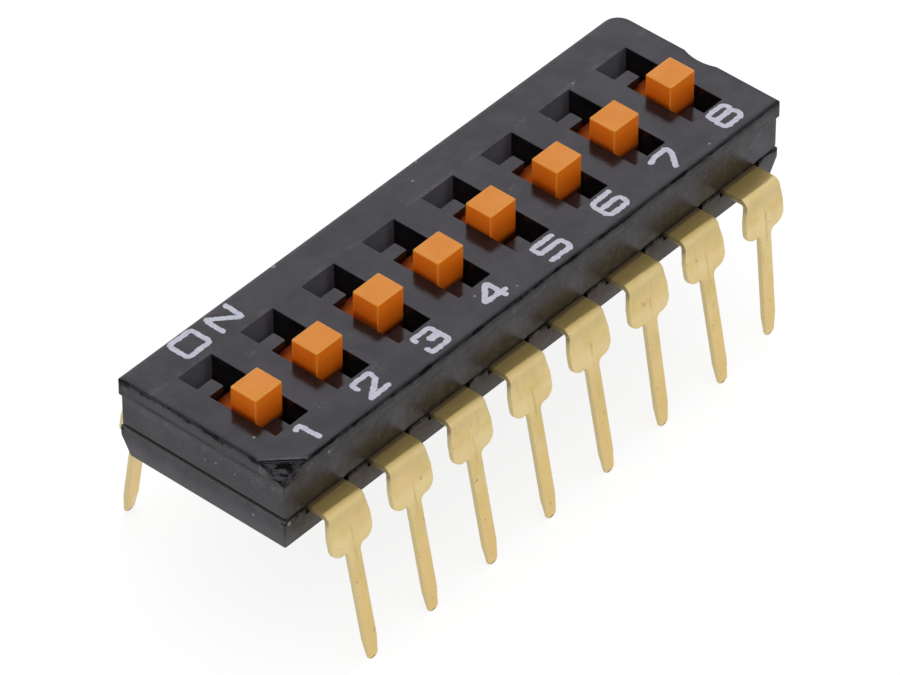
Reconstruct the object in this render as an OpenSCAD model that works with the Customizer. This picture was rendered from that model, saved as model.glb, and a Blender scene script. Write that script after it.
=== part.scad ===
// Eight-way slide DIP switch with raised knobs, for a through-hole board.
//
// Millimetres, +Z up. The origin is the middle of the housing's underside. The poles run along X,
// with pole 1 at the -X end, and a knob slides along Y: towards +Y is ON.
// Terminals 1 to 8 stand on the -Y side under the poles of the same number, and 9 to 16 come back
// along the +Y side.

/* [Row] */
// Number of switch poles in the row
poles = 8; // [2:1:10]
// Distance between neighbouring poles
pitch = 2.54; // [2.5:0.01:3.2]

/* [Housing] */
// Height of the base, from the underside up to the seam
base_h = 0.92; // [0.85:0.01:1.3]
// Height of the cover, from the seam up to the top face
cover_h = 1.77; // [1.7:0.01:2.6]
// Thickness of the cover's deck round the slots
deck_t = 0.3; // [0.2:0.01:0.4]
// Wall of the cover between the last pole's cavity and the end face
end_wall = 0.81; // [0.75:0.01:2]
// Wall of the cover between the cavities and each long side
side_wall = 1.29; // [1.1:0.01:1.8]
// Height of the collar band round the top of the cover
band_h = 0.6; // [0.3:0.01:1]
// How far the band stands proud of the wall below it
band_proud = 0.06; // [0.01:0.01:0.1]
// How far the base stands proud of the cover's wall
base_proud = 0.04; // [0.01:0.01:0.1]
// Radius of the upright edges, apart from the one across from pole 1
corner_r = 0.05; // [0.03:0.01:0.3]
// Radius of the upright edge across from pole 1
far_corner_r = 0.5; // [0.1:0.05:0.6]
// Width of the bevel round the top face
top_edge = 0.06; // [0.02:0.01:0.1]
// Height of the slit above the seam on the two end faces
seam_h = 0.1; // [0.03:0.01:0.15]
// Depth of that slit
seam_d = 0.1; // [0.03:0.01:0.15]
// Legs of the triangular facet at the pole-1 corner, on the top face
facet_leg = 0.87; // [0.4:0.01:1]
// How far that facet drops at the corner
facet_drop = 0.36; // [0.1:0.01:0.5]
// Small step along the facet's upper edge
facet_step = 0.05; // [0.01:0.01:0.1]
// Length of the gate scallop on the far end of the band
gate_l = 1.4; // [0.6:0.1:2]
// Depth of that scallop
gate_d = 0.17; // [0.05:0.01:0.2]
// How far that scallop lies off the middle, towards the OFF side
gate_off = 0.15; // [0:0.01:0.5]
// Foot of the bevel under the ON side of the base
side_bevel = 0.36; // [0.1:0.01:0.6]
// Foot of the bevel under the far end of the base
end_bevel = 0.4; // [0.1:0.01:0.6]

/* [Slot] */
// Gap between the knob and each side of its slot
knob_side_gap = 0.12; // [0.05:0.005:0.2]
// Length of the open window at the ON end of the slot
window_l = 0.695; // [0.3:0.005:1]
// Width of the stop tab, along the slot
tab_w = 0.47; // [0.3:0.01:0.7]
// How far the stop tab reaches across the slot
tab_reach = 0.59; // [0.4:0.01:0.8]
// Radius of the tab's two tip corners
tab_r = 0.06; // [0.05:0.01:0.14]
// Length of the stop ledge at the OFF end of the slot
ledge_l = 0.8; // [0.5:0.01:1.2]
// Width of the stop ledge, from the cavity's side wall
ledge_w = 1.2; // [0.9:0.01:1.4]

/* [Slider] */
// Width of the knob, across its travel
knob_w = 1.1; // [0.8:0.01:1.2]
// Length of the knob, along its travel
knob_l = 0.95; // [0.7:0.01:1.2]
// How far the knob stands above the cover
knob_rise = 0.68; // [0.3:0.01:1.5]
// How far the slider moves between its two stops
travel = 0.625; // [0.5:0.005:0.8]
// Width of the slider's body inside the housing
slider_w = 1.8; // [1.7:0.01:1.85]
// Length of the slider's shoulder beyond the knob, on the ON side
shoulder_l = 0.68; // [0.6:0.01:0.75]
// Length of the wide rail at the foot of the slider
rail_l = 1.75; // [1.7:0.01:1.9]
// Height of the wide rail at the foot of the slider
rail_h = 0.65; // [0.6:0.01:0.75]
// How far each slider stands from its OFF stop, pole by pole
rest_play = [0, 0.04, 0.11, 0.03, 0.23, 0.09, 0.04, 0.08];
// How far each knob leans aside in its slot, pole by pole
side_play = [0, 0, 0.08, -0.02, -0.08, 0.07, 0, 0];

/* [Moving contact] */
// Thickness of the moving contact's strip
spring_t = 0.1; // [0.06:0.01:0.12]
// Width of the moving contact
spring_w = 1; // [0.8:0.01:1.05]
// Distance between the moving contact's two wipers
wiper_span = 1; // [0.9:0.01:1.05]
// Rise of the strip on each side of a wiper, as a slope
wiper_slope = 0.5; // [0.3:0.05:0.7]
// Length of each upturned end beyond its wiper
wiper_end = 0.12; // [0.08:0.01:0.15]
// Radius of the peg that holds the moving contact
spring_peg_r = 0.11; // [0.08:0.01:0.13]

/* [Terminals] */
// Thickness of the terminal strip
lead_t = 0.2; // [0.15:0.01:0.25]
// Width of the tongue outside the wall
tongue_w = 1.5; // [1.4:0.01:1.55]
// Width of the shoulder
lead_w = 1.68; // [1.56:0.01:1.75]
// Length over which the tongue widens to the shoulder
flare_l = 0.5; // [0.3:0.05:0.6]
// Width of the pad inside the housing
pad_w = 1.2; // [1.1:0.01:1.3]
// Width of the stem below the shoulder
stem_w = 0.49; // [0.3:0.01:0.6]
// Length over which the stem is pressed to a narrower tip
tip_l = 0.7; // [0.4:0.05:1]
// Width of the tip
tip_w = 0.38; // [0.25:0.01:0.42]
// Thickness of the tip
tip_t = 0.12; // [0.1:0.01:0.15]
// Cut across the corners at the end of the tip
tip_corner = 0.08; // [0.04:0.01:0.08]
// How far the tips reach below the housing
lead_drop = 4.35; // [3:0.05:5]
// How far the shoulders reach below the housing
shoulder_drop = 0.62; // [0.3:0.01:0.9]
// Radius of the shoulder's lower corners
shoulder_r = 0.37; // [0.1:0.01:0.4]
// Inner radius of the bend outside the wall
bend_r = 0.08; // [0.05:0.01:0.12]
// Half the row spacing at the height where all the leads line up
lead_row = 4.05; // [4:0.01:4.4]
// Depth of that height below the housing
lead_row_drop = 1.1; // [0.8:0.05:1.5]
// Lean of each lead of the OFF side, outwards, in degrees
off_lean = [11, 11, 11, 11, 11, 9, 11, 5];
// Lean of the leads of the ON side, outwards, in degrees
on_lean = 9; // [0:1:12]
// How far the pads reach past the wipers
pad_overlap = 0.22; // [0.15:0.01:0.28]
// Radius of the pegs that hold the pads
pad_peg_r = 0.2; // [0.12:0.01:0.25]

/* [Fits] */
// Gap beside and below a slider
slide_gap = 0.05; // [0.03:0.01:0.08]
// Gap left when a slider is at a stop
stop_gap = 0.03; // [0.01:0.01:0.05]
// Gap between a terminal and the plastic round it
lead_gap = 0.04; // [0.02:0.01:0.06]
// Extra width of each lead's notch in the outer wall
notch_gap = 0.12; // [0.05:0.01:0.2]
// Gap between a wiper and the pad it runs on
wiper_gap = 0.01; // [0.01:0.01:0.03]
// Radial gap of the pegs and dowels in their holes
peg_gap = 0.03; // [0.02:0.01:0.05]
// Radius of the dowels that locate the cover on the base
dowel_r = 0.22; // [0.15:0.01:0.24]
// Height of those dowels
dowel_h = 0.5; // [0.3:0.05:0.8]
// Thinnest rib between two pockets of the cover
rib_t = 0.35; // [0.25:0.01:0.4]

/* [Hidden] */
$fn = 48;
reach = 10;                     // longer than any cut has to be
over = 0.1;                     // how far a cut runs past the face that it opens

housing_colour = [0.13, 0.13, 0.14];
slider_colour = [0.92, 0.47, 0.1];
lead_colour = [0.84, 0.73, 0.46];
spring_colour = [0.8, 0.62, 0.32];

// Plan of the slot, from its ON end down to its OFF end
slot_w = knob_w + 2 * knob_side_gap;
knob_window = knob_l + travel + 2 * stop_gap;
slot_l = window_l + tab_w + knob_window + ledge_l;
slot_on = slot_l / 2;
tab_on = slot_on - window_l;
tab_off = tab_on - tab_w;
ledge_on = tab_off - knob_window;

// Housing
cavity_w = slider_w + 2 * slide_gap;
body_l = (poles - 1) * pitch + cavity_w + 2 * end_wall;
body_w = slot_l + 2 * side_wall;
body_h = base_h + cover_h;
wall_l = body_l - 2 * band_proud;
wall_w = body_w - 2 * band_proud;
base_l = wall_l + 2 * base_proud;
base_w = wall_w + 2 * base_proud;
core_w = side_wall - band_proud - 2 * rib_t;
core_y = slot_l / 2 + rib_t + core_w / 2;
dowel_x = wall_l / 2 - (end_wall - band_proud) / 2;
dowel_y = wall_w / 2 - (end_wall - band_proud) / 2 - corner_r;

// Slider: the back of its knob stands at knob_back when it is at its OFF stop
knob_back = ledge_on + stop_gap;
slider_bottom = base_h + slide_gap;
shoulder_top = body_h - deck_t - slide_gap;
rail_top = slider_bottom + rail_h;
slider_mid = knob_back + rail_l / 2;

// Moving contact
pad_top = base_h - lead_gap;
wiper_z = pad_top + wiper_gap + spring_t / 2 * norm([1, wiper_slope]);
spring_top_z = wiper_z + 0.66 * rail_h;
pocket_l = wiper_span + 2 * wiper_end + spring_t + 2 * slide_gap;
pocket_w = spring_w + 2 * slide_gap;
pocket_top = spring_top_z + spring_t / 2 + wiper_gap;

// Terminals: inner ends of the pads, and the bend outside the wall
off_pad_end = slider_mid - wiper_span / 2 + travel + pad_overlap;
on_pad_end = slider_mid + wiper_span / 2 + travel - pad_overlap - spring_t;
pad_bottom = pad_top - lead_t;
bend_out = bend_r + lead_t;
bend_mid = bend_r + lead_t / 2;
bend_z = pad_top - bend_out;
neck_y = slot_l / 2 + 2 * rib_t;
pad_peg_y = slot_l / 2 + rib_t;
bevel_h = pad_bottom - lead_gap;

slider_names = [for (k = [1:poles]) str("slider_", k)];
spring_names = [for (k = [1:poles]) str("moving_contact_", k)];
lead_names = [for (k = [1:2 * poles]) str("terminal_", k)];

// Upright edges of the housing: the signs of X and Y, and the radius
corners = [
    [-1, -1, corner_r],
    [1, -1, corner_r],
    [1, 1, far_corner_r],
    [-1, 1, corner_r]
];

function pole_x(k) = (k - (poles + 1) / 2) * pitch;
function of_pole(list, k) = list[(k - 1) % len(list)];

// ---------------------------------------------------------------- outlines

// Plan of the housing, with its rounded corners.
module plan(l, w) {
    difference() {
        square([l, w], center = true);
        for (c = corners)
            translate([c[0] * l / 2, c[1] * w / 2])
                square(2 * c[2], center = true);
    }
    for (c = corners)
        translate([c[0] * (l / 2 - c[2]), c[1] * (w / 2 - c[2])])
            circle(c[2]);
}

// The tab stands on the slot's -X side and has two rounded tip corners.
module tab_outline() {
    translate([-slot_w / 2, tab_off]) {
        translate([-over, 0])
            square([tab_reach - tab_r + over, tab_w]);
        translate([0, tab_r])
            square([tab_reach, tab_w - 2 * tab_r]);
        for (y = [tab_r, tab_w - tab_r])
            translate([tab_reach - tab_r, y])
                circle(tab_r);
    }
}

module slot_outline() {
    difference() {
        square([slot_w, slot_l], center = true);
        tab_outline();
    }
}

// ---------------------------------------------------------------- cover

module cover_shell() {
    translate([0, 0, base_h])
        linear_extrude(cover_h - band_h + over)
            plan(wall_l, wall_w);
    translate([0, 0, body_h - band_h])
        hull() {
            linear_extrude(band_h - top_edge)
                plan(body_l, body_w, $fn = 24);
            linear_extrude(band_h)
                plan(body_l - 2 * top_edge, body_w - 2 * top_edge, $fn = 24);
        }
}

// Room for one slider under the deck, with the stop ledge left standing at its OFF end, and the
// slot through the deck above it. Above the rail, the +X wall stands in line with the slot's edge.
module pole_room() {
    ledge_x = ledge_w - cavity_w / 2;
    ceiling = body_h - deck_t;
    for (room = [[cavity_w / 2, rail_top + slide_gap], [slot_w / 2, ceiling]]) {
        wall_x = room[0];
        room_h = room[1] - base_h + over;
        translate([-cavity_w / 2, ledge_on, base_h - over])
            cube([cavity_w / 2 + wall_x, slot_on - ledge_on, room_h]);
        translate([ledge_x, -slot_l / 2, base_h - over])
            cube([wall_x - ledge_x, slot_l, room_h]);
    }
    translate([0, 0, ceiling - over])
        linear_extrude(deck_t + 2 * over)
            slot_outline();
    translate([-slot_w / 2, -slot_l / 2, shoulder_top])
        cube([slot_w, ledge_l + over, deck_t + slide_gap - over / 2]);
}

// Pockets that keep the long walls of the cover even in thickness.
module core_pockets() {
    for (sy = [-1, 1])
        translate([-cavity_w / 2, sy * core_y - core_w / 2, base_h - over])
            cube([cavity_w, core_w, cover_h - band_h]);
}

// Everything above the facet's plane, beyond the chamfer line of the pole-1 corner.
module corner_facet() {
    depth = facet_leg / sqrt(2);
    fall = atan(facet_drop / depth);
    translate([-body_l / 2, -body_w / 2, body_h])
        rotate([0, 0, -135])
            translate([-depth, 0, 0])
                intersection() {
                    translate([0, -reach / 2, -reach / 2])
                        cube(reach);
                    translate([0, 0, -facet_step])
                        rotate([0, fall, 0])
                            translate([-reach / 2, -reach / 2, 0])
                                cube(reach);
                }
}

module gate_scallop() {
    r = (gate_l * gate_l / 4 + gate_d * gate_d) / (2 * gate_d);
    translate([body_l / 2 + r - gate_d, -gate_off, body_h - band_h])
        cylinder(h = band_h + over, r = r, $fn = 96);
}

module seam_slits() {
    for (side = [-1, 1])
        translate([side * wall_l / 2, 0, base_h + seam_h / 2 - over / 2])
            cube([2 * seam_d, body_w, seam_h + over], center = true);
}

module dowels(r, h) {
    for (sx = [-1, 1], sy = [-1, 1])
        translate([sx * dowel_x, sy * dowel_y, base_h - over])
            cylinder(h = h + over, r = r);
}

module cover() {
    color(housing_colour)
        difference() {
            cover_shell();
            for (k = [1:poles])
                translate([pole_x(k), 0, 0]) {
                    pole_room();
                    core_pockets();
                }
            dowels(dowel_r + peg_gap, dowel_h + peg_gap);
            corner_facet();
            gate_scallop();
            seam_slits();
        }
}

// ---------------------------------------------------------------- base

// A wedge along one lower edge: foot is its width at the underside, run is the half width of the
// housing on that side.
module bevel(run, foot) {
    slope = foot / bevel_h;
    rotate([90, 0, 0])
        linear_extrude(3 * reach, center = true)
            polygon([
                [run - foot - slope * over, -over],
                [run + slope * over, bevel_h + over],
                [run + reach, bevel_h + over],
                [run + reach, -over]
            ]);
}

module base_block() {
    difference() {
        linear_extrude(base_h)
            plan(base_l, base_w);
        bevel(base_l / 2, end_bevel);
        rotate([0, 0, 90])
            bevel(base_w / 2, side_bevel);
    }
}

// Bed of one pole's two pads, with a wider notch where each lead leaves the wall.
module pad_bed() {
    bed_w = pad_w + 2 * lead_gap;
    notch_w = tongue_w + 2 * notch_gap;
    off_end = off_pad_end + lead_gap;
    on_end = on_pad_end - lead_gap;
    translate([-bed_w / 2, -neck_y - over, pad_top])
        cube([bed_w, 2 * neck_y + 2 * over, lead_gap + over]);
    translate([-bed_w / 2, -neck_y - over, pad_bottom])
        cube([bed_w, neck_y + over + off_end, lead_t + over]);
    translate([-bed_w / 2, on_end, pad_bottom])
        cube([bed_w, neck_y + over - on_end, lead_t + over]);
    for (sy = [-1, 1])
        translate([-notch_w / 2, sy > 0 ? neck_y - lead_gap : lead_gap - neck_y - reach, pad_bottom])
            cube([notch_w, reach, lead_t + lead_gap + over]);
}

module base() {
    color(housing_colour) {
        difference() {
            base_block();
            for (k = [1:poles])
                translate([pole_x(k), 0, 0])
                    pad_bed();
        }
        for (k = [1:poles], sy = [-1, 1])
            translate([pole_x(k), sy * pad_peg_y, pad_bottom - over])
                cylinder(h = lead_t + over, r = pad_peg_r);
        dowels(dowel_r, dowel_h);
    }
}

// ---------------------------------------------------------------- slider

module slider(k) {
    color(slider_colour)
        translate([pole_x(k), of_pole(rest_play, k), 0]) {
            translate([of_pole(side_play, k) - knob_w / 2, knob_back, rail_top - over])
                cube([knob_w, knob_l, body_h + knob_rise - rail_top + over]);
            translate([-slider_w / 2, knob_back, rail_top - over])
                cube([
                    (slider_w + knob_w) / 2 + of_pole(side_play, k),
                    knob_l + shoulder_l,
                    shoulder_top - rail_top + over
                ]);
            difference() {
                translate([-slider_w / 2, knob_back, slider_bottom])
                    cube([slider_w, rail_l, rail_h]);
                translate([-pocket_w / 2, slider_mid - pocket_l / 2, slider_bottom - over])
                    cube([pocket_w, pocket_l, pocket_top - slider_bottom + over]);
            }
            translate([0, slider_mid, pocket_top - 2 * spring_t])
                cylinder(h = 2 * spring_t + over, r = spring_peg_r);
        }
}

// ---------------------------------------------------------------- moving contact

// Centre line of the strip from one upturned end over the crown to the other.
spring_half = [
    [wiper_span / 2 + wiper_end, wiper_z + wiper_end * wiper_slope],
    [wiper_span / 2, wiper_z],
    [wiper_span / 2 - wiper_end, wiper_z + wiper_end * wiper_slope],
    [wiper_span / 4, spring_top_z]
];
spring_line = concat(
    [for (p = spring_half) [-p[0], p[1]]],
    [for (i = [len(spring_half) - 1:-1:0]) spring_half[i]]
);

function unit(v) = v / norm(v);
function across(v) = [-v[1], v[0]];

// Corner of the strip's edge: the two offset edges that meet at point i, mitred.
function edge_point(line, i, d) =
    let (
        a = unit(line[max(i, 1)] - line[max(i, 1) - 1]),
        b = unit(line[min(i, len(line) - 2) + 1] - line[min(i, len(line) - 2)]),
        m = unit(across(a) + across(b))
    )
    line[i] + m * d / (m * across(a));

module strip_outline(line, t) {
    n = len(line);
    polygon(concat(
        [for (i = [0:n - 1]) edge_point(line, i, t / 2)],
        [for (i = [n - 1:-1:0]) edge_point(line, i, -t / 2)]
    ));
}

module moving_contact(k) {
    color(spring_colour)
        translate([pole_x(k), slider_mid + of_pole(rest_play, k), 0])
            difference() {
                rotate([90, 0, 90])
                    linear_extrude(spring_w, center = true)
                        strip_outline(spring_line, spring_t);
                translate([0, 0, spring_top_z - spring_t])
                    cylinder(h = 2 * spring_t, r = spring_peg_r + peg_gap);
            }
}

// ---------------------------------------------------------------- terminals

// Polygon from the points of its +X half, top to bottom.
module even_polygon(half) {
    polygon(concat([for (p = half) [-p[0], p[1]]], [for (i = [len(half) - 1:-1:0]) half[i]]));
}

// Stem that narrows to its tip, with the corners of its end cut off.
module pressed_tip(w, end_w, corner, l) {
    even_polygon([
        [w / 2, 0],
        [w / 2, tip_l - l],
        [end_w / 2, corner - l],
        [end_w / 2 - corner, -l]
    ]);
}

// Side view of a terminal of the ON side, in Y and Z: the pad, the bend and the leaning blade.
module lead_profile(pad_end, bend_y, lean, blade_l) {
    translate([pad_end, pad_bottom])
        square([bend_y - pad_end, lead_t]);
    translate([bend_y, bend_z]) {
        difference() {
            intersection() {
                circle(bend_out);
                polygon([
                    [0, 0],
                    [0, 2 * bend_out],
                    [2 * bend_out, 2 * bend_out],
                    [2 * bend_out * cos(lean), 2 * bend_out * sin(lean)]
                ]);
            }
            circle(bend_r);
        }
        rotate(lean)
            translate([bend_mid, 0])
                pressed_tip(lead_t, tip_t, tip_corner / 2, blade_l);
    }
}

// Front view of the blade, with its top end at the bend.
module blade_outline(shoulder_l, blade_l) {
    inner = lead_w / 2 - shoulder_r;
    fillet = shoulder_r / 2;
    even_polygon([
        [tongue_w / 2, reach],
        [tongue_w / 2, 0],
        [lead_w / 2, -flare_l],
        [lead_w / 2, shoulder_r - shoulder_l]
    ]);
    translate([-inner, -shoulder_l])
        square([2 * inner, shoulder_l]);
    for (side = [-1, 1])
        translate([side * inner, shoulder_r - shoulder_l])
            circle(shoulder_r);
    difference() {
        translate([-stem_w / 2 - fillet, -shoulder_l - fillet])
            square([stem_w + 2 * fillet, 2 * fillet]);
        for (side = [-1, 1])
            translate([side * (stem_w / 2 + fillet), -shoulder_l - fillet])
                circle(fillet);
    }
    pressed_tip(stem_w, tip_w, tip_corner, blade_l);
}

// One terminal of the ON side, made from a flat blank: the blade's outline is cut through the bent
// strip, and the pad is narrowed and holed inside the wall.
module terminal_form(pad_end, lean) {
    bend_y = lead_row - ((bend_z + lead_row_drop) * sin(lean) + bend_mid) / cos(lean);
    blade_top = bend_z + bend_mid * sin(lean);
    blade_l = (blade_top + lead_drop) / cos(lean) - lead_t / 2 * tan(lean);
    shoulder_l = (blade_top + shoulder_drop) / cos(lean);
    difference() {
        intersection() {
            rotate([90, 0, 90])
                linear_extrude(lead_w, center = true)
                    lead_profile(pad_end, bend_y, lean, blade_l);
            translate([0, bend_y, bend_z])
                rotate([90 + lean, 0, 0])
                    linear_extrude(2 * reach, center = true)
                        blade_outline(shoulder_l, blade_l);
        }
        for (side = [-1, 1])
            translate([side > 0 ? pad_w / 2 : -pad_w / 2 - reach, -reach, pad_bottom - over])
                cube([reach, reach + neck_y, lead_t + 2 * over]);
        translate([0, pad_peg_y, pad_bottom - over])
            cylinder(h = lead_t + 2 * over, r = pad_peg_r + peg_gap);
    }
}

module terminal(n) {
    off_side = n <= poles;
    k = off_side ? n : 2 * poles + 1 - n;
    color(lead_colour)
        translate([pole_x(k), 0, 0])
            if (off_side)
                mirror([0, 1, 0])
                    terminal_form(-off_pad_end, of_pole(off_lean, k));
            else
                terminal_form(on_pad_end, on_lean);
}

// ---------------------------------------------------------------- the part

base();
cover();
for (k = [1:poles]) {
    slider(k);
    moving_contact(k);
}
for (n = [1:2 * poles])
    terminal(n);
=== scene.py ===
"""Looks of the eight-way slide DIP switch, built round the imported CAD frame."""

import math

import bmesh
import bpy
from mathutils import Matrix, Vector, noise


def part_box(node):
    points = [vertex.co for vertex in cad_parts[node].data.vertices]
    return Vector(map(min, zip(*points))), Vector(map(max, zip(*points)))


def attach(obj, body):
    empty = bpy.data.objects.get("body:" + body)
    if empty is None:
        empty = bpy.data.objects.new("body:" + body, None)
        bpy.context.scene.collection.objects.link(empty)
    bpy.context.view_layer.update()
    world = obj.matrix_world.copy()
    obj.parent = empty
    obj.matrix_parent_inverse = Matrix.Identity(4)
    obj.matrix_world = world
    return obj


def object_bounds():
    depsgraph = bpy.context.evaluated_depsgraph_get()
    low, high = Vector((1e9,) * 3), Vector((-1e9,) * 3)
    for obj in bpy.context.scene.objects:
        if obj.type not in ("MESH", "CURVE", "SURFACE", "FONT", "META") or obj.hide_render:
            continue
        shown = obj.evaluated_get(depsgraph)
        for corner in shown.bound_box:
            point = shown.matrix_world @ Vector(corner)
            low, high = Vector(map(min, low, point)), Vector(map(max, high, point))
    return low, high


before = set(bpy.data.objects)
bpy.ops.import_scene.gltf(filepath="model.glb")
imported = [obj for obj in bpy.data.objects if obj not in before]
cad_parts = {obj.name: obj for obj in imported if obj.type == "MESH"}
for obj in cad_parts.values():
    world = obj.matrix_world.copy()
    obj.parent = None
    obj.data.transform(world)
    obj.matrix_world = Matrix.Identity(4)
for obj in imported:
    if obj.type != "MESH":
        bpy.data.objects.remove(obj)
cad_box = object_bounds()

# Blender works in metres. Numbers in millimetres are multiplied by this.
MM = 0.001
COS_45 = 0.7071
POLES = 8

# Camera of the photograph: the point it aims at, how far away it stands, and its turn in degrees
AIM = Vector((-0.529, -0.238, -0.631)) * MM
DISTANCE = 217.83 * MM
AZIMUTH = -48.83
ELEVATION = 41.29
ROLL = -0.094
LENS = 307.2
SENSOR_WIDTH = 36
CLIP_START = 0.01
CLIP_END = 10

# Light. A lamp's level is what it alone makes of white plastic that faces it.
SKY = 0.52
LAMP_DISTANCE = 0.26
LAMPS = [
    # name, direction to the lamp, width, level, colour
    ("lamp_left", (-1.0, -0.35, 0.95), 0.9, 0.13, (1.0, 1.0, 1.0)),
    ("lamp_front", (0.15, -1.0, 0.85), 0.9, 0.11, (1.0, 1.0, 1.0)),
    ("lamp_back", (0.57, 0.49, 0.66), 0.35, 0.2, (1.0, 0.98, 1.0)),
]

# Floor: what it gives back to the object, and how white it is where it is seen
FLOOR_RADIUS = 2.0
FLOOR_SEGMENTS = 96
FLOOR_COLOUR = (0.6, 0.6, 0.61, 1)
FLOOR_CLOUD = (0.44, 0.44, 0.45, 1)
FLOOR_SEEN = (0.32, 0.32, 0.32, 1)
FLOOR_GLOW = 0.8

# Edge rounding that is added to the CAD nodes
HOUSING_ROUND = 0.02 * MM
SLIDER_ROUND = 0.05 * MM
LEAD_ROUND = 0.05 * MM
SHARP_ANGLE = 32
FLAT_ANGLE = 1
WELD_REACH = 1e-7

# Places on the housing, in millimetres: the Y of the walls that end the slots, how far the collar
# band reaches down from the top, the height of the slit above the seam at each end, and how far the
# facet reaches in from the pole-1 corner
SLOT_END = 1.8
BAND = 0.6
SLIT = 0.1
FACET_IN = 0.64

# Painted shade: a dark line along the top edge. Its middle is 0 at the edge and less on the side. It
# wanders by sway and softens over soft, all in millimetres. Its strength goes from the least to the
# greatest between two levels of a noise.
SIDE_RIM = {
    "middle": -0.04, "sway": 0.14, "soft": 0.05,
    "strengths": (0.25, 1.0), "levels": (0.33, 0.53), "seed": 3,
}
END_RIM = {
    "middle": -0.09, "sway": 0.2, "soft": 0.08,
    "strengths": (0.0, 0.85), "levels": (0.47, 0.57), "seed": 8,
}

# Marks of handling on the housing: the place and reach of each, in millimetres.
# Flecks are pale and small, pits dark and small, scuffs pale and scratchy.
FLECKS = [
    ((-10.0, -1.4, 2.7), 0.05),
    ((-8.8, -3.1, 2.35), 0.06),
    ((-10.45, -3.1, 0.8), 0.09),
    ((-10.6, -1.9, 0.55), 0.07),
    ((-10.6, -0.5, 1.6), 0.05),
    ((-10.6, -0.1, 1.5), 0.04),
    ((-10.6, -1.2, 1.6), 0.04),
    ((1.0, 2.5, 2.7), 0.05),
    ((-0.5, -2.7, 2.7), 0.04),
    ((-1.6, -2.1, 2.7), 0.05),
    ((7.8, -2.8, 2.7), 0.05),
    ((7.3, 1.9, 2.7), 0.05),
    ((-4.35, 3.0, 2.7), 0.09),
    ((1.7, 3.0, 2.7), 0.05),
]
PITS = [
    ((7.3, -3.1, 2.0), 0.1),
    ((-3.9, -3.1, 1.5), 0.07),
    ((3.1, -3.1, 1.8), 0.06),
]
SCUFFS = [
    ((-7.5, 1.0, 2.7), 0.25),
    ((-7.8, -1.8, 2.7), 0.3),
    ((-10.3, 1.9, 2.7), 0.25),
    ((-10.6, 2.2, 1.6), 0.3),
    ((-10.6, 1.2, 1.9), 0.3),
    ((-10.6, -2.0, 1.9), 0.4),
    ((-10.6, 2.4, 0.5), 0.3),
    ((7.3, 1.9, 2.7), 0.2),
    ((2.7, 0.1, 2.7), 0.25),
    ((-5.6, -2.1, 2.7), 0.3),
]

# Print, in millimetres
INK_HALF_WIDTH = 0.095
INK_RISE = 0.008
INK_SUNK = 0.002
INK_SLOPE = 0.03
INK_CELL = 0.02
INK_CELLS = 38
INK_RAGGED = [
    # reach, turns in a millimetre, seed
    (0.03, 8, 0),
    (0.018, 24, 5),
]
LABEL_Y = -2.38
ON_LABEL_Y = 2.54
ON_LABEL_X = {"O": 0.58, "N": 2.0}
CORNER_CUT = {"6": 0.2, "8": 0.2}
USUAL_CORNER_CUT = 0.13
CORNER_STEPS = 6

# Colours of the housing
PLASTIC_BLACK = (0.003, 0.003, 0.0035, 1)
PLASTIC_MOTTLE = (0.010, 0.0095, 0.0105, 1)
# Painted light: the plastic deep in the slots and under the deck is lighter.
SLOT_DEPTH_LIGHT = (0.016, 0.012, 0.013, 1)
SMUDGE = (0.034, 0.032, 0.036, 1)
# The colour below is for the dark marks: pits, facet streaks, patchy darkening along the seam, and
# painted shade along the top edge, under the band's lower edge and in the notches beside the leads.
DARK_MARK_AND_SHADE = (0.003, 0.0028, 0.0028, 1)
BROKEN = (0.021, 0.0205, 0.0225, 1)
# The colour below is for pale scuffs and rubbed places, and for a painted highlight along the back
# edge of the top.
WORN_AND_HIGHLIGHT = (0.075, 0.074, 0.079, 1)
SCRAPED = (0.10, 0.10, 0.105, 1)
FLECK = (0.3, 0.3, 0.3, 1)
HOUSING_FOOT = (0.075, 0.071, 0.079, 1)
SLIT_LIGHT = (0.05, 0.05, 0.05, 1)
LEDGE_LIGHT = (0.11, 0.108, 0.112, 1)
# The four wall colours below are painted light and shadow on the wall that ends each slot: grey,
# lighter further down, mottled, and a painted shadow towards its +X side.
WALL_LIT_HIGH = (0.098, 0.103, 0.124, 1)
WALL_LIT_LOW = (0.2, 0.208, 0.25, 1)
WALL_LIT_MOTTLE = (0.16, 0.165, 0.19, 1)
WALL_SHADE = (0.05, 0.048, 0.055, 1)
HOUSING_SHINE = (0.925, 0.875, 1.0, 1)

# Colours of the sliders
# Painted light and shade: the two below make the knob lighter near its top and darker lower down.
ORANGE_LIT_HIGH = (0.94, 0.225, 0.003, 1)
ORANGE_SHADED_LOW = (0.82, 0.155, 0.001, 1)
# Painted light: the knob's top is paler and yellower.
ORANGE_LIT_TOP = (0.8, 0.285, 0.016, 1)
ORANGE_CLOUD = (0.64, 0.15, 0.004, 1)
# Painted highlight along the knob's edges.
ORANGE_EDGE_HIGHLIGHT = (0.95, 0.42, 0.06, 1)
# The four below are painted shade: near the cover's top level, on the shoulder in the slot (darker
# towards its +Y end), and deep in the slot.
ORANGE_FOOT_SHADE = (0.45, 0.06, 0.001, 1)
SHOULDER_SHADE_NEAR = (0.43, 0.1, 0.008, 1)
SHOULDER_SHADE_FAR = (0.13, 0.014, 0.001, 1)
ORANGE_DEEP_SHADE = (0.05, 0.004, 0.0005, 1)

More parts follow.
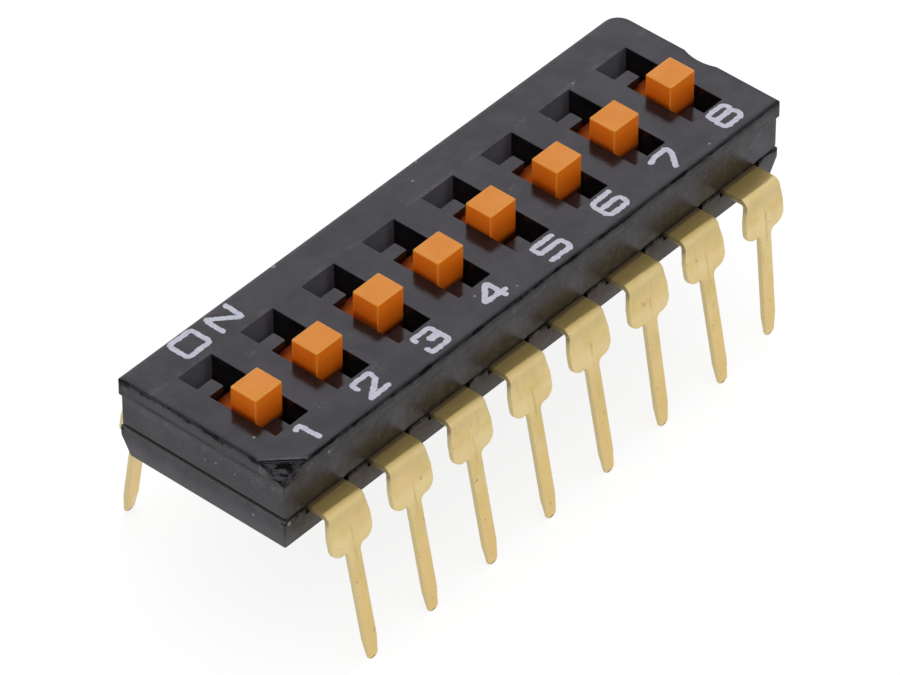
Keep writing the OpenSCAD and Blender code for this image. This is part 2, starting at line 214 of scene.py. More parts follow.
# Colours of the leads
GOLD = (0.60, 0.46, 0.185, 1)
GOLD_CLOUD = (0.67, 0.53, 0.25, 1)
GOLD_WARM = (0.68, 0.49, 0.24, 1)
GOLD_STREAK = (0.50, 0.36, 0.13, 1)
GOLD_PALE = (0.72, 0.58, 0.31, 1)
GOLD_STEM = (0.69, 0.495, 0.205, 1)
PRESS_MARK = (0.45, 0.31, 0.1, 1)
GOLD_SPECK = (0.32, 0.22, 0.09, 1)
# The two below are painted shade: on the bend, where it tones down the highlight, and on the tongue's
# top.
GOLD_BEND_SHADE = (0.53, 0.43, 0.22, 1)
GOLD_TONGUE_SHADE = (0.47, 0.35, 0.125, 1)
CUT_LOW = (0.66, 0.54, 0.28, 1)
CUT_HIGH = (0.42, 0.33, 0.16, 1)
# Painted shadow where the lead leaves the housing.
LEAD_ROOT_SHADE = (0.15, 0.105, 0.05, 1)

# Colours of the moving contacts and of the print
BRONZE_DARK = (0.55, 0.38, 0.15, 1)
BRONZE_PALE = (0.63, 0.46, 0.2, 1)
INK_DARK = (0.52, 0.53, 0.63, 1)
INK_PALE = (0.64, 0.65, 0.76, 1)


# ---------------------------------------------------------------- frame

def pole_x(k):
    low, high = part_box(f"moving_contact_{k}")
    return (low[0] + high[0]) / 2


cover_low, cover_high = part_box("cover")
TOP = cover_high[2]
SEAM = cover_low[2]


# ---------------------------------------------------------------- node helper

class Tree:
    """One material and short calls for its nodes. A value is a number or another node's output."""

    def __init__(self, name):
        self.material = bpy.data.materials.new(name)
        self.material.use_nodes = True
        self.tree = self.material.node_tree
        self.tree.nodes.clear()
        self.shader = self.add("BsdfPrincipled")
        self.out = self.add("OutputMaterial")
        self.put(self.out.inputs["Surface"], self.shader.outputs[0])
        place = self.add("TexCoord").outputs["Object"]
        self.mm = self.vector("SCALE", place, scale=1 / MM)
        self.x, self.y, self.z = self.add("SeparateXYZ", Vector=self.mm).outputs

    def add(self, kind, settings=None, **values):
        node = self.tree.nodes.new("ShaderNode" + kind)
        for key, value in (settings or {}).items():
            setattr(node, key, value)
        for key, value in values.items():
            self.put(node.inputs[key.replace("_", " ")], value)
        return node

    def put(self, socket, value):
        if isinstance(value, bpy.types.NodeSocket):
            self.tree.links.new(value, socket)
        else:
            socket.default_value = value

    def vector(self, operation, a, b=None, scale=None):
        node = self.add("VectorMath", {"operation": operation})
        self.put(node.inputs[0], a)
        if b is not None:
            self.put(node.inputs[1], b)
        if scale is not None:
            self.put(node.inputs["Scale"], scale)
        return node.outputs[0]

    def math(self, operation, a, b=0.0):
        node = self.add("Math", {"operation": operation})
        self.put(node.inputs[0], a)
        self.put(node.inputs[1], b)
        return node.outputs[0]

    def size(self, value):
        return self.math("ABSOLUTE", value)

    def inverse(self, value):
        return self.math("SUBTRACT", 1.0, value)

    def product(self, *values):
        total = values[0]
        for value in values[1:]:
            total = self.math("MULTIPLY", total, value)
        return total

    def most(self, *values):
        total = values[0]
        for value in values[1:]:
            total = self.math("MAXIMUM", total, value)
        return total

    def fade(self, value, low, high):
        """0 below low, 1 above high, smooth between. low may be the greater of the two."""
        node = self.add("MapRange", {"interpolation_type": "SMOOTHSTEP"})
        for key, number in zip(("Value", "From Min", "From Max"), (value, low, high)):
            self.put(node.inputs[key], number)
        return node.outputs[0]

    def near(self, value, middle, reach, core=0.0):
        """1 within core of the middle value, 0 beyond reach of it."""
        return self.fade(self.size(self.math("SUBTRACT", value, middle)), reach, core)

    def mix(self, factor, a, b):
        """A colour that is a where the factor is 0 and b where it is 1."""
        node = self.add("Mix", {"data_type": "RGBA"})
        for socket, value in zip((node.inputs[0], node.inputs[6], node.inputs[7]), (factor, a, b)):
            self.put(socket, value)
        return node.outputs[2]

    def blend(self, factor, a, b):
        """A number that is a where the factor is 0 and b where it is 1."""
        node = self.add("Mix", {"data_type": "FLOAT"})
        for socket, value in zip((node.inputs[0], node.inputs[2], node.inputs[3]), (factor, a, b)):
            self.put(socket, value)
        return node.outputs[0]

    def normal(self):
        """The X, Y and Z of the surface normal."""
        return self.add("SeparateXYZ", Vector=self.add("NewGeometry").outputs["Normal"]).outputs

    def along_node(self):
        """0 at the node's least Y, 1 at its greatest."""
        return self.add("SeparateXYZ", Vector=self.add("TexCoord").outputs["Generated"]).outputs["Y"]

    def from_pole(self):
        """How far along X from the nearest pole's middle, in millimetres."""
        pitch = (pole_x(2) - pole_x(1)) / MM
        turn = self.math("SUBTRACT", self.x, pole_x(1) / MM - 1.5 * pitch)
        return self.math("SUBTRACT", self.math("FLOORED_MODULO", turn, pitch), pitch / 2)

    def distance(self, place):
        """How far from a place, in millimetres."""
        node = self.add("VectorMath", {"operation": "DISTANCE"})
        self.put(node.inputs[0], self.mm)
        self.put(node.inputs[1], place)
        return node.outputs["Value"]

    def noise(self, scale, detail=2.0, roughness=0.5, stretch=None, offset=None):
        """Noise with about `scale` blobs in a millimetre."""
        at = self.mm
        if offset:
            at = self.vector("ADD", at, offset)
        if stretch:
            at = self.vector("MULTIPLY", at, stretch)
        node = self.add("TexNoise", Vector=at, Scale=scale, Detail=detail, Roughness=roughness)
        return node.outputs["Fac"]

    def bump(self, height, distance, strength=1.0, normal=None):
        """Bump of a height from 0 to 1 that stands for `distance` millimetres."""
        node = self.add("Bump", Height=height, Distance=distance * MM, Strength=strength)
        if normal:
            self.put(node.inputs["Normal"], normal)
        return node.outputs[0]

    def finish(self, **values):
        for key, value in values.items():
            self.put(self.shader.inputs[key.replace("_", " ")], value)
        return self.material


# ---------------------------------------------------------------- housing

class HousingMap:
    """Where a point of the housing is, and the noises that several of its marks share.

    from_side, from_end, drop, from_corner and along_facet are distances in millimetres. The others
    go from 0 to 1.
    """

    def __init__(self, t):
        half_l, half_w = cover_high[0] / MM, cover_high[1] / MM
        self.from_side = t.math("SUBTRACT", half_w, t.size(t.y))
        self.from_end = t.math("SUBTRACT", half_l, t.size(t.x))
        self.drop = t.math("SUBTRACT", TOP / MM, t.z)
        self.on_top = t.fade(self.drop, 0.05, 0.03)
        self.outside = t.fade(t.math("MINIMUM", self.from_side, self.from_end), 0.25, 0.2)
        self.by_side = t.fade(self.from_side, 0.2, 0.15)
        self.by_end = t.fade(self.from_end, 0.2, 0.15)
        self.off_half = t.fade(t.y, 0.5, -0.5)
        self.long_side = t.product(self.by_side, t.fade(self.drop, 0.08, 0.12))

        # The facet at the pole-1 corner: in from its corner, and along it from its middle
        corner_sum = t.math("ADD", t.math("ADD", t.x, t.y), half_l + half_w)
        self.from_corner = t.math("MULTIPLY", corner_sum, COS_45)
        difference = t.math("SUBTRACT", t.math("SUBTRACT", t.x, t.y), half_w - half_l)
        self.along_facet = t.math("MULTIPLY", difference, COS_45)
        self.facet = t.fade(self.from_corner, FACET_IN, FACET_IN - 0.03)
        self.broken = t.product(self.facet, t.fade(self.drop, 0.6, 0.4))

        self.mottle = t.noise(2.2, 4, 0.6)
        self.cloud = t.noise(1.1, 4, 0.65, offset=(4, 4, 4))
        self.torn = t.noise(3.5, 4, 0.7, stretch=(1, 1, 3.5))


def rim_line(t, past, middle, sway, soft, strengths, levels, seed):
    """Painted shade: a dark line along an edge. past is 0 at the edge, positive on the top and
    negative on the side.
    """
    wander = t.math("SUBTRACT", t.noise(0.8, 3, offset=(seed, 0, 0)), 0.5)
    place = t.math("ADD", t.math("MULTIPLY", wander, sway), middle)
    width = t.blend(t.fade(t.noise(1.6, 3, offset=(0, seed, 0)), 0.42, 0.6), 0.01, 0.065)
    line = t.near(past, place, t.math("ADD", width, soft), width)
    patchy = t.fade(t.noise(1.0, 4, 0.6, offset=(0, 0, seed)), *levels)
    return t.product(line, t.blend(patchy, *strengths))


def rim_lines(t, at):
    """The broken lines of painted shade along the top edge of the OFF side and of the ends."""
    total = 0.0
    for across, beside, rim in (
        (at.from_side, at.by_side, SIDE_RIM),
        (at.from_end, at.by_end, END_RIM),
    ):
        line = rim_line(t, t.math("SUBTRACT", across, at.drop), **rim)
        total = t.most(total, t.product(line, t.most(at.on_top, beside)))
    return t.product(total, t.most(at.off_half, t.fade(at.from_end, 0.3, 0.2)))


def facet_marks(t, at):
    """Dark streaks where the corner broke off, and the cut along the facet's upper edge."""
    streaks = t.product(t.near(at.along_facet, 0.0, 0.6, 0.2), t.fade(at.torn, 0.42, 0.52))
    streaks = t.product(streaks, at.facet, t.fade(at.drop, 0.55, 0.3), t.fade(at.drop, 0.03, 0.07))
    cut = t.product(t.near(at.from_corner, FACET_IN + 0.015, 0.04, 0.02), at.on_top)
    return t.most(streaks, cut)


def marks_at(t, places, core):
    """1 within core times the reach of each place, 0 beyond its reach, with a ragged outline."""
    ragged = t.blend(t.noise(11, 3, 0.6), 0.5, 1.5)
    total = 0.0
    for place, reach in places:
        total = t.most(total, t.fade(t.product(t.distance(place), ragged), reach, core * reach))
    return total


def dark_marks(t, at):
    """Rim lines of painted shade, facet marks, pits, painted shadow under the band's lower edge, and
    patchy darkening along the seam with painted shadow in the notches beside each lead.
    """
    # Painted shadow under the band's lower edge
    band_edge_shadow = t.product(t.near(at.drop, BAND - 0.12, 0.12, 0.02), t.fade(at.cloud, 0.3, 0.55))
    band_edge_shadow = t.product(band_edge_shadow, at.outside, t.blend(at.long_side, 0.45, 0.15))
    # Painted shadow in the notch beside each lead, and patchy darkening along the seam
    lead_notch_shadow = t.near(t.size(t.from_pole()), 0.9, 0.3, 0.05)
    seam_darkening = t.most(t.fade(t.noise(3.2, 4, 0.65), 0.45, 0.58), lead_notch_shadow)
    seam_darkening = t.product(seam_darkening, t.near(t.z, SEAM / MM - 0.03, 0.13, 0.03), at.by_side, 0.75)
    return t.most(rim_lines(t, at), facet_marks(t, at), band_edge_shadow, seam_darkening, marks_at(t, PITS, 0.5))


def pale_wear(t, at):
    """Scuffs along the outer edges and the band, a painted highlight along the back edge of the top,
    and a faint trail past the slots' ON ends.
    """
    patchy = t.fade(t.noise(4, 4, 0.65, offset=(1, 6, 3)), 0.45, 0.62)
    grainy = t.fade(t.noise(9, 3, 0.65, offset=(2, 1, 7)), 0.42, 0.58)
    edge = t.product(t.near(at.drop, 0.14, 0.07, 0.02), t.fade(at.cloud, 0.45, 0.55), patchy)
    under = t.product(t.near(at.drop, BAND + 0.17, 0.2, 0.05), at.by_end)
    under = t.product(under, t.blend(patchy, 0.2, 1.0), t.fade(at.mottle, 0.3, 0.55))
    scuff = t.product(t.most(edge, under), at.outside)
    # Painted highlight: a pale broken line along the back edge of the top
    far_rim_highlight = t.product(t.fade(at.from_side, 0.2, 0.04), t.fade(t.y, 2.0, 2.5))
    trail = t.product(t.near(t.y, SLOT_END + 0.1, 0.1, 0.03), t.fade(at.cloud, 0.45, 0.6), 0.5)
    lip = t.near(at.from_corner, FACET_IN + 0.09, 0.06, 0.02)
    on_top = t.product(t.most(far_rim_highlight, trail, lip), at.on_top, t.blend(grainy, 0.25, 1.0))
    return t.most(scuff, on_top)


def pale_flecks(t, at):
    """The flecks that have a place, and sparse small ones."""
    sparse = t.fade(t.noise(7, 2, 0.5, offset=(11, 5, 2)), 0.76, 0.8)
    sparse = t.product(sparse, t.most(at.on_top, at.outside), 0.7)
    return t.most(marks_at(t, FLECKS, 0.6), sparse)


def clean_plastic(t, at):
    """The plastic itself, with its mottling, its smudges, and painted light deep in the slots."""
    colour = t.mix(t.fade(at.mottle, 0.3, 0.7), PLASTIC_BLACK, PLASTIC_MOTTLE)
    # Painted light: lighter plastic deep in the slots
    slot_depth_light = t.math("SUBTRACT", t.fade(at.drop, 0.2, 0.5), at.outside)
    colour = t.mix(slot_depth_light, colour, SLOT_DEPTH_LIGHT)
    smudge = t.fade(t.noise(5, 4, 0.7, offset=(7, 3, 1)), 0.5, 0.68)
    below_top = t.fade(at.drop, 0.1, 0.2)
    smudge = t.product(smudge, at.outside, below_top, t.blend(at.long_side, 0.7, 1.0))
    return t.mix(smudge, colour, SMUDGE)


def slot_walls(t, at):
    """Where the wall that ends each slot is, which is rough, and its colour: painted light that makes
    it grey and lighter further down, with painted shadow towards its +X side.
    """
    facing_off = t.fade(t.normal()["Y"], -0.6, -0.8)
    wall = t.product(facing_off, t.near(t.y, SLOT_END, 0.05, 0.03), t.fade(at.drop, 0.01, 0.03))
    # Painted light: the wall is grey, and lighter further down
    colour = t.mix(t.fade(at.drop, 0.1, 0.7), WALL_LIT_HIGH, WALL_LIT_LOW)
    colour = t.mix(t.product(at.mottle, 0.3), colour, WALL_LIT_MOTTLE)
    # Painted shadow towards the wall's +X side
    shade = t.product(t.fade(t.from_pole(), 0.25, 0.5), 0.5)
    return wall, t.mix(shade, colour, WALL_SHADE)


def shine_kept(t, at, dark):
    """The share of its shine that the plastic keeps: less in dark marks and around the rim."""
    beside = t.most(
        t.product(t.fade(at.from_side, 0.22, 0.0), at.off_half, 0.5),
        t.product(t.fade(at.from_end, 0.25, 0.0), 0.25),
    )
    reach = t.blend(at.by_side, 0.3, 0.42)
    below = t.product(t.fade(at.drop, reach, 0.02), at.outside, t.inverse(at.on_top))
    below = t.product(below, t.blend(at.by_side, 0.35, 0.65))
    lost = t.most(t.product(dark, 0.88), t.product(beside, at.on_top), below)
    upper_side = t.product(at.long_side, t.fade(at.drop, 1.25, 0.65))
    return t.product(t.inverse(lost), t.blend(upper_side, 1.0, 0.84))


def housing_material():
    """Glossy black plastic, with the worn and broken places that the mould and the handling leave, and
    painted light and shade along its edges, at its seam and in its slots.
    """
    t = Tree("housing_plastic")
    at = HousingMap(t)
    dark = dark_marks(t, at)
    wear_and_highlight = pale_wear(t, at)
    scrape = t.product(marks_at(t, SCUFFS, 0.2), t.fade(t.noise(9, 3, 0.7), 0.5, 0.6))
    flecks = pale_flecks(t, at)
    foot = t.product(t.fade(t.z, 0.75, 0.1), t.blend(at.mottle, 0.5, 1.0))
    wall, wall_colour = slot_walls(t, at)

    # At each end, light reaches the base's upper lip and the slit above it
    seam = SEAM / MM
    slit = t.near(t.z, seam + SLIT / 2, SLIT / 2 + 0.01, SLIT / 2)
    slit = t.product(slit, t.fade(at.from_end, 0.25, 0.2))
    ledge = t.product(t.near(t.z, seam, 0.02, 0.01), t.fade(at.from_end, 0.1, 0.07))

    colour = clean_plastic(t, at)
    for share, layer in (
        (dark, DARK_MARK_AND_SHADE),
        (t.product(at.broken, t.inverse(dark)), BROKEN),
        (t.product(wear_and_highlight, 0.75), WORN_AND_HIGHLIGHT),
        (t.product(scrape, 0.8), SCRAPED),
        (t.product(flecks, 0.85), FLECK),
        (foot, HOUSING_FOOT),
        (slit, SLIT_LIGHT),
        (ledge, LEDGE_LIGHT),
        (wall, wall_colour),
    ):
        colour = t.mix(share, colour, layer)

    rough = t.blend(t.fade(at.cloud, 0.3, 0.7), 0.13, 0.2)
    rough = t.blend(at.long_side, rough, 0.3)
    rough = t.blend(t.most(dark, flecks, wall, slit, scrape, t.product(wear_and_highlight, 0.5)), rough, 0.7)
    shine = t.blend(t.fade(at.cloud, 0.35, 0.65), 0.36, 0.443)
    uneven = t.blend(t.fade(at.mottle, 0.35, 0.65), 0.9, 1.08)
    shine = t.product(shine, shine_kept(t, at, dark), t.blend(at.long_side, 1.0, uneven))
    skin = t.bump(t.noise(14, 3, 0.6), 0.004, 0.5)
    skin = t.bump(t.noise(4, 3), 0.008, 0.5, skin)
    skin = t.bump(t.product(at.torn, at.broken), 0.04, 1.0, skin)
    return t.finish(
        Base_Color=colour,
        Roughness=rough,
        Normal=skin,
        Specular_IOR_Level=shine,
        Specular_Tint=HOUSING_SHINE,
    )


# ---------------------------------------------------------------- other materials

def slider_material():
    """Orange plastic, with painted light and shade: paler and yellower on the knob's top, paler along
    its edges, darker towards its foot and in the slot.
    """
    t = Tree("slider_plastic")
    top = TOP / MM
    knob_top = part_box("slider_1")[1][2] / MM
    cloud = t.fade(t.noise(1.6, 3, 0.5), 0.3, 0.7)
    nx, ny, nz = [t.size(part) for part in t.normal()]
    edge = t.most(t.product(nx, ny), t.product(nz, t.most(nx, ny)))
    # Painted light and shade: lighter near the knob's top, darker lower down
    colour = t.mix(t.fade(t.z, knob_top - 0.1, knob_top - 0.7), ORANGE_LIT_HIGH, ORANGE_SHADED_LOW)
    # Painted light: a paler, yellower top
    colour = t.mix(t.fade(t.z, knob_top - 0.06, knob_top - 0.01), colour, ORANGE_LIT_TOP)
    colour = t.mix(t.product(cloud, 0.15), colour, ORANGE_CLOUD)
    # Painted highlight along the knob's edges
    colour = t.mix(t.product(t.fade(edge, 0.1, 0.4), 0.5), colour, ORANGE_EDGE_HIGHLIGHT)

    # Painted shade: the face towards OFF stays bright further down than the others, and then goes dark
    # in the slot. The shoulder in the slot is shaded, darker towards its +Y end.
    along = t.along_node()
    facing_off = t.fade(t.normal()["Y"], -0.2, -0.5)
    elsewhere = t.inverse(facing_off)
    foot = t.product(t.fade(t.z, top + 0.12, top - 0.1), elsewhere)
    sunk = t.product(t.fade(t.z, top - 0.26, top - 0.32), elsewhere)
    off_end = t.most(facing_off, t.fade(along, 0.16, 0.1))
    deep = t.product(t.fade(t.z, top - 0.27, top - 0.59), off_end)
    shoulder = t.mix(t.fade(along, 0.66, 0.94), SHOULDER_SHADE_NEAR, SHOULDER_SHADE_FAR)
    colour = t.mix(t.product(foot, 0.6), colour, ORANGE_FOOT_SHADE)
    colour = t.mix(sunk, colour, shoulder)
    colour = t.mix(deep, colour, ORANGE_DEEP_SHADE)

    inside = t.most(sunk, deep)
    return t.finish(
        Base_Color=colour,
        Roughness=t.blend(inside, t.blend(cloud, 0.42, 0.55), 0.85),
        Normal=t.bump(t.noise(22, 2, 0.5), 0.004, 0.5),
        Specular_IOR_Level=t.blend(inside, 0.4, 0.1),
        Subsurface_Weight=0.6,
        Subsurface_Radius=(1.0, 0.3, 0.1),
        Subsurface_Scale=0.4 * MM,
    )


def lead_material():
    """Pale gold plating with soft cloudy tones, matt where the stamp cut it and where it is bent, with
    painted shade on the tongue, on the bend and where it leaves the housing.
    """
    t = Tree("lead_gold")
    streaks = t.noise(5, 4, 0.6, stretch=(1, 1, 0.12))
    cloud = t.fade(t.noise(1.1, 3, 0.55), 0.35, 0.65)
    warm = t.fade(t.noise(0.9, 2, 0.5, offset=(5, 2, 8)), 0.45, 0.65)
    specks = t.fade(t.noise(4.5, 3, 0.6, offset=(3, 9, 4)), 0.66, 0.72)

    # Along the lead: tongue, bend, shoulder and stem, with a streak from the press at the stem's top
    out = t.size(t.y)
    # Painted shadow where the lead leaves the housing
    root_shade = t.fade(out, 3.2, 3.1)
    tongue = t.product(t.fade(t.z, 0.78, 0.86), t.fade(out, 3.9, 3.5))
    bend = t.product(t.fade(t.z, 0.2, 0.6), t.fade(out, 3.2, 3.5))
    shoulder_foot = t.near(t.z, -0.3, 0.4, 0.1)
    down_stem = t.fade(t.z, -1.2, -2.8)
    press = t.product(t.near(t.from_pole(), 0.02, 0.07, 0.01), t.fade(streaks, 0.35, 0.6))
    press = t.product(press, t.fade(t.z, -1.1, -0.7), t.fade(t.z, 0.2, 0.0))
    cut_face = t.fade(t.size(t.normal()["X"]), 0.6, 0.9)

    colour = t.mix(cloud, GOLD, GOLD_CLOUD)
    for share, layer in (
        (t.product(warm, 0.6), GOLD_WARM),
        (t.product(t.fade(streaks, 0.5, 0.75), 0.4), GOLD_STREAK),
        (t.product(shoulder_foot, 0.45), GOLD_PALE),
        (t.product(down_stem, 0.7), GOLD_STEM),
        (t.product(press, 0.6), PRESS_MARK),
        (t.product(specks, 0.6), GOLD_SPECK),
        # Painted shade on the bend and on the tongue's top
        (t.product(bend, 0.5), GOLD_BEND_SHADE),
        (tongue, GOLD_TONGUE_SHADE),
        (cut_face, t.mix(t.fade(t.z, 0.4, 0.7), CUT_LOW, CUT_HIGH)),
        (root_shade, LEAD_ROOT_SHADE),
    ):
        colour = t.mix(share, colour, layer)

    metal = t.blend(tongue, t.blend(cut_face, 1.0, 0.75), 0.75)
    rough = t.blend(t.fade(streaks, 0.3, 0.7), 0.2, 0.3)
    rough = t.blend(t.most(bend, tongue, cut_face), rough, 0.45)
    skin = t.bump(streaks, 0.008, 0.6)
    skin = t.bump(t.noise(2.5, 2), 0.02, 0.4, skin)
    return t.finish(
        Base_Color=colour,
        Metallic=t.blend(root_shade, metal, 0.3),
        Roughness=rough,
        Normal=skin,
    )


def spring_material():
    """Bronze strip with the streaks of its rolling."""
    t = Tree("spring_bronze")
    streaks = t.noise(8, 3, 0.6, stretch=(1, 0.15, 1))
    return t.finish(
        Base_Color=t.mix(t.fade(streaks, 0.3, 0.7), BRONZE_DARK, BRONZE_PALE),
        Metallic=1.0,
        Roughness=t.blend(streaks, 0.25, 0.4),
        Normal=t.bump(streaks, 0.006, 0.5),
    )


def ink_material():
    """Matt pale ink, a little uneven."""
    t = Tree("print_ink")
    cloud = t.noise(6, 4, 0.6)
    return t.finish(
        Base_Color=t.mix(t.fade(cloud, 0.3, 0.7), INK_DARK, INK_PALE),
        Roughness=t.blend(cloud, 0.5, 0.7),
        Normal=t.bump(t.noise(18, 3), 0.008, 0.6),
    )


# ---------------------------------------------------------------- CAD nodes and pieces

def dress_node(name, material, rounding=0.0, segments=2):
    """Gives a CAD node its material, and rounds its sharp edges."""
    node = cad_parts[name]
    node.data.materials.clear()
    node.data.materials.append(material)
    if not rounding:
        return
    join = node.modifiers.new("join", "WELD")
    join.merge_threshold = WELD_REACH
    flat = node.modifiers.new("flat", "DECIMATE")
    flat.decimate_type = "DISSOLVE"
    flat.angle_limit = math.radians(FLAT_ANGLE)
    bevel = node.modifiers.new("edges", "BEVEL")
    bevel.width = rounding
    bevel.segments = segments
    bevel.limit_method = "ANGLE"
    bevel.angle_limit = math.radians(SHARP_ANGLE)
    bevel.use_clamp_overlap = False
    bevel.loop_slide = False
    bevel.harden_normals = True


def mesh_object(name, solid, material):
    mesh = bpy.data.meshes.new(name)
    solid.to_mesh(mesh)
    solid.free()
    mesh.materials.append(material)
    mesh.shade_smooth()
    piece = bpy.data.objects.new(name, mesh)
    bpy.context.collection.objects.link(piece)
    return piece


# ---------------------------------------------------------------- print

def loop_stroke(x0, x1, y0, y1):
    """A closed stroke round a box, which starts and ends at the middle of its left side."""
    middle = (x0, (y0 + y1) / 2)
    return [middle, (x0, y1), (x1, y1), (x1, y0), (x0, y0), middle]


# Strokes of each character in millimetres, from the middle of its place
GLYPHS = {
    "1": [[(-0.13, 0.31), (0.06, 0.39), (0.07, 0.1), (0.09, -0.34)]],
    "2": [
        [(-0.33, 0.15), (-0.34, 0.38), (0.1, 0.38), (0.4, 0.38), (0.36, 0.08), (-0.34, -0.38)],
        [(-0.34, -0.38), (0.38, -0.36)],
    ],
    "3": [
        [(-0.33, 0.25), (-0.33, 0.38), (0.38, 0.38), (0.39, -0.39), (-0.34, -0.39), (-0.35, -0.2)],
        [(0.02, 0.06), (0.3, 0.06)],
        [(0.04, -0.01), (0.3, -0.02)],
    ],
    "4": [[(0.3, -0.32), (0.28, 0.4), (0.2, 0.38), (-0.38, -0.13), (0.45, -0.14)]],
    "5": [
        [(0.5, 0.37), (-0.34, 0.38), (-0.32, 0.06), (0.54, 0.06), (0.54, -0.36), (-0.28, -0.35)],
    ],
    "6": [
        [(0.49, 0.38), (-0.31, 0.38), (-0.31, -0.33), (0.53, -0.33), (0.53, 0.04), (-0.26, 0.04)],
    ],
    "7": [[(-0.3, 0.29), (-0.1, 0.37), (0.48, 0.39), (0.44, 0.14), (0.07, -0.32)]],
    "8": [loop_stroke(-0.2, 0.53, 0.08, 0.41), loop_stroke(-0.22, 0.55, -0.31, 0.09)],
    "O": [loop_stroke(-0.455, 0.455, -0.37, 0.37)],
    "N": [[(-0.43, -0.34), (-0.41, 0.36), (0.4, -0.34), (0.43, 0.33)]],
}


def smooth_stroke(points, cut):
    """The stroke as short lines, with its corners rounded over cut millimetres on each side."""
    points = [Vector(p) for p in points]
    line = [points[0]]
    for before, corner, after in zip(points, points[1:], points[2:]):
        start = corner + (before - corner).normalized() * min(cut, (before - corner).length / 2)
        end = corner + (after - corner).normalized() * min(cut, (after - corner).length / 2)
        for step in range(CORNER_STEPS + 1):
            s = step / CORNER_STEPS
            line.append((1 - s) ** 2 * start + 2 * s * (1 - s) * corner + s * s * end)
    line.append(points[-1])
    return line


def line_distance(p, a, b):
    along = b - a
    share = (p - a).dot(along) / max(along.length_squared, 1e-12)
    return (p - a - along * min(max(share, 0), 1)).length


def ink_depth(p, lines, seed):
    """How far inside the inked area a point is, with a slightly ragged edge."""
    ragged = sum(
        reach * noise.noise(Vector((p.x * turns, p.y * turns, seed + shift)))
        for reach, turns, shift in INK_RAGGED
    )
    nearest = min(line_distance(p, a, b) for line in lines for a, b in zip(line, line[1:]))
    return INK_HALF_WIDTH + ragged - nearest


def ink_cells(depth, span):
    """The inked part of each cell, as a list of (key, x, y, depth) for its corners."""
    for i in span[:-1]:
        for j in span[:-1]:
            ring = [(i, j), (i + 1, j), (i + 1, j + 1), (i, j + 1)]
            cell = []
            for a, b in zip(ring, ring[1:] + ring[:1]):
                if depth[a] > 0:
                    cell.append((a, a[0], a[1], depth[a]))
                if (depth[a] > 0) != (depth[b] > 0):
                    s = depth[a] / (depth[a] - depth[b])
                    x, y = a[0] + s * (b[0] - a[0]), a[1] + s * (b[1] - a[1])
                    cell.append((frozenset((a, b)), x, y, 0.0))
            if len(cell) > 2:
                yield cell


def glyph(letter, name, x, y, seed, material):
    """One printed character: a thin raised film that sits in the cover's top face."""
    cut = CORNER_CUT.get(letter, USUAL_CORNER_CUT)
    lines = [smooth_stroke(stroke, cut) for stroke in GLYPHS[letter]]
    span = range(-INK_CELLS, INK_CELLS + 1)
    depth = {(i, j): ink_depth(Vector((i, j)) * INK_CELL, lines, seed) for i in span for j in span}
    film = bmesh.new()
    corners = {}
    for cell in ink_cells(depth, span):
        for key, i, j, inside in cell:
            if key not in corners:
                rise = INK_RISE * min(1.0, inside / INK_SLOPE) - INK_SUNK
                place = ((x + i * INK_CELL) * MM, (y + j * INK_CELL) * MM, TOP + rise * MM)
                corners[key] = film.verts.new(place)
        film.faces.new([corners[key] for key, *_ in cell])
    piece = mesh_object(name, film, material)
    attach(piece, "housing")


def print_labels(material):
    for k in range(1, POLES + 1):
        glyph(str(k), f"label_{k}", pole_x(k) / MM, LABEL_Y, k, material)
    for letter, name, seed in (("O", "label_on_o", 11), ("N", "label_on_n", 12)):
        glyph(letter, name, pole_x(1) / MM + ON_LABEL_X[letter], ON_LABEL_Y, seed, material)


# ---------------------------------------------------------------- studio

def make_camera():
    azimuth, elevation = math.radians(AZIMUTH), math.radians(ELEVATION)
    forward = Vector((
        -math.sin(azimuth) * math.cos(elevation),
        math.cos(azimuth) * math.cos(elevation),
        -math.sin(elevation),
    ))
    roll = Matrix.Rotation(math.radians(ROLL), 3, "Z").to_quaternion()
    turn = forward.to_track_quat("-Z", "Y") @ roll
    camera = bpy.data.objects.new("camera", bpy.data.cameras.new("camera"))
    bpy.context.collection.objects.link(camera)
    camera.matrix_world = Matrix.LocRotScale(AIM - forward * DISTANCE, turn, None)
    camera.data.lens = LENS
    camera.data.sensor_width = SENSOR_WIDTH
    camera.data.clip_start = CLIP_START
    camera.data.clip_end = CLIP_END
    bpy.context.scene.camera = camera


def seen_directly(tree):
    """1 for rays that show the background: camera, glossy and transmission."""
    path = tree.nodes.new("ShaderNodeLightPath")
    total = path.outputs["Is Camera Ray"]
    for kind in ("Is Glossy Ray", "Is Transmission Ray"):
        both = tree.nodes.new("ShaderNodeMath")
        both.operation = "MAXIMUM"
        tree.links.new(total, both.inputs[0])
        tree.links.new(path.outputs[kind], both.inputs[1])
        total = both.outputs[0]
    return total


def make_world():
    """A plain sky that lights the object, seen as white."""
    world = bpy.data.worlds.new("studio")
    bpy.context.scene.world = world
    world.use_nodes = True
    tree = world.node_tree
    tree.nodes.clear()
    mix = tree.nodes.new("ShaderNodeMixShader")
    tree.links.new(seen_directly(tree), mix.inputs[0])
    for socket, strength in ((mix.inputs[1], SKY), (mix.inputs[2], 1.0)):
        sky = tree.nodes.new("ShaderNodeBackground")
        sky.inputs["Color"].default_value = (1, 1, 1, 1)
        sky.inputs["Strength"].default_value = strength
        tree.links.new(sky.outputs[0], socket)
    out = tree.nodes.new("ShaderNodeOutputWorld")
    tree.links.new(mix.outputs[0], out.inputs[0])


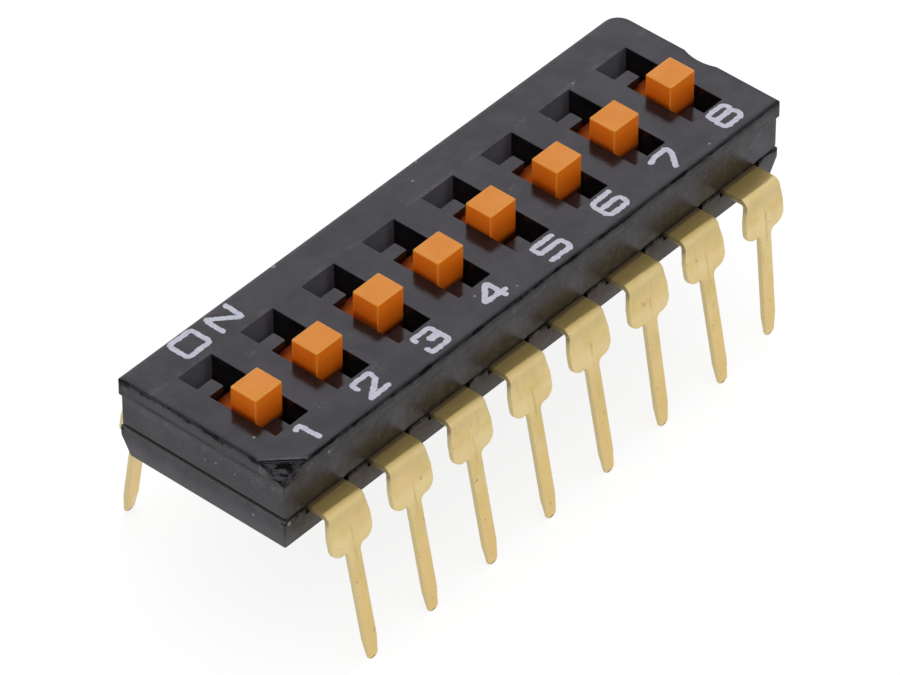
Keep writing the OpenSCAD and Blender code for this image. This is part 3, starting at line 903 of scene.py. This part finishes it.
def make_lamps():
    for name, towards, width, level, colour in LAMPS:
        data = bpy.data.lights.new(name, "AREA")
        data.shape = "DISK"
        data.size = width
        data.color = colour
        data.energy = level * math.pi ** 2 * (LAMP_DISTANCE ** 2 + (width / 2) ** 2)
        lamp = bpy.data.objects.new(name, data)
        bpy.context.collection.objects.link(lamp)
        way = Vector(towards).normalized()
        turn = way.to_track_quat("Z", "Y")
        lamp.matrix_world = Matrix.LocRotScale(way * LAMP_DISTANCE, turn, None)


def floor_material():
    """Pale floor. Seen directly it is brighter, so it turns white but keeps the object's shadow."""
    t = Tree("floor")
    cloud = t.product(t.noise(0.05, 3), 0.1)
    t.finish(Base_Color=t.mix(cloud, FLOOR_COLOUR, FLOOR_CLOUD), Roughness=0.9, Specular_IOR_Level=0.0)
    seen = t.add("BsdfDiffuse", Color=FLOOR_SEEN)
    glow = t.add("Emission", Color=(1, 1, 1, 1), Strength=FLOOR_GLOW)
    both = t.add("AddShader")
    t.put(both.inputs[0], seen.outputs[0])
    t.put(both.inputs[1], glow.outputs[0])
    mix = t.add("MixShader")
    t.put(mix.inputs[0], seen_directly(t.tree))
    t.put(mix.inputs[1], t.shader.outputs[0])
    t.put(mix.inputs[2], both.outputs[0])
    t.put(t.out.inputs["Surface"], mix.outputs[0])
    return t.material


def make_floor():
    disk = bmesh.new()
    bmesh.ops.create_circle(disk, cap_ends=True, radius=FLOOR_RADIUS, segments=FLOOR_SEGMENTS)
    bmesh.ops.translate(disk, verts=disk.verts, vec=(0, 0, cad_box[0][2]))
    mesh_object("floor", disk, floor_material())


# ---------------------------------------------------------------- the part

def dress():
    housing = housing_material()
    slider = slider_material()
    lead = lead_material()
    spring = spring_material()
    dress_node("cover", housing, HOUSING_ROUND)
    dress_node("base", housing, HOUSING_ROUND)
    for k in range(1, POLES + 1):
        dress_node(f"slider_{k}", slider, SLIDER_ROUND, segments=3)
        dress_node(f"moving_contact_{k}", spring)
    for n in range(1, 2 * POLES + 1):
        dress_node(f"terminal_{n}", lead, LEAD_ROUND)
    print_labels(ink_material())


make_camera()
make_world()
make_lamps()
make_floor()
dress()
bpy.context.scene.view_settings.view_transform = "Standard"
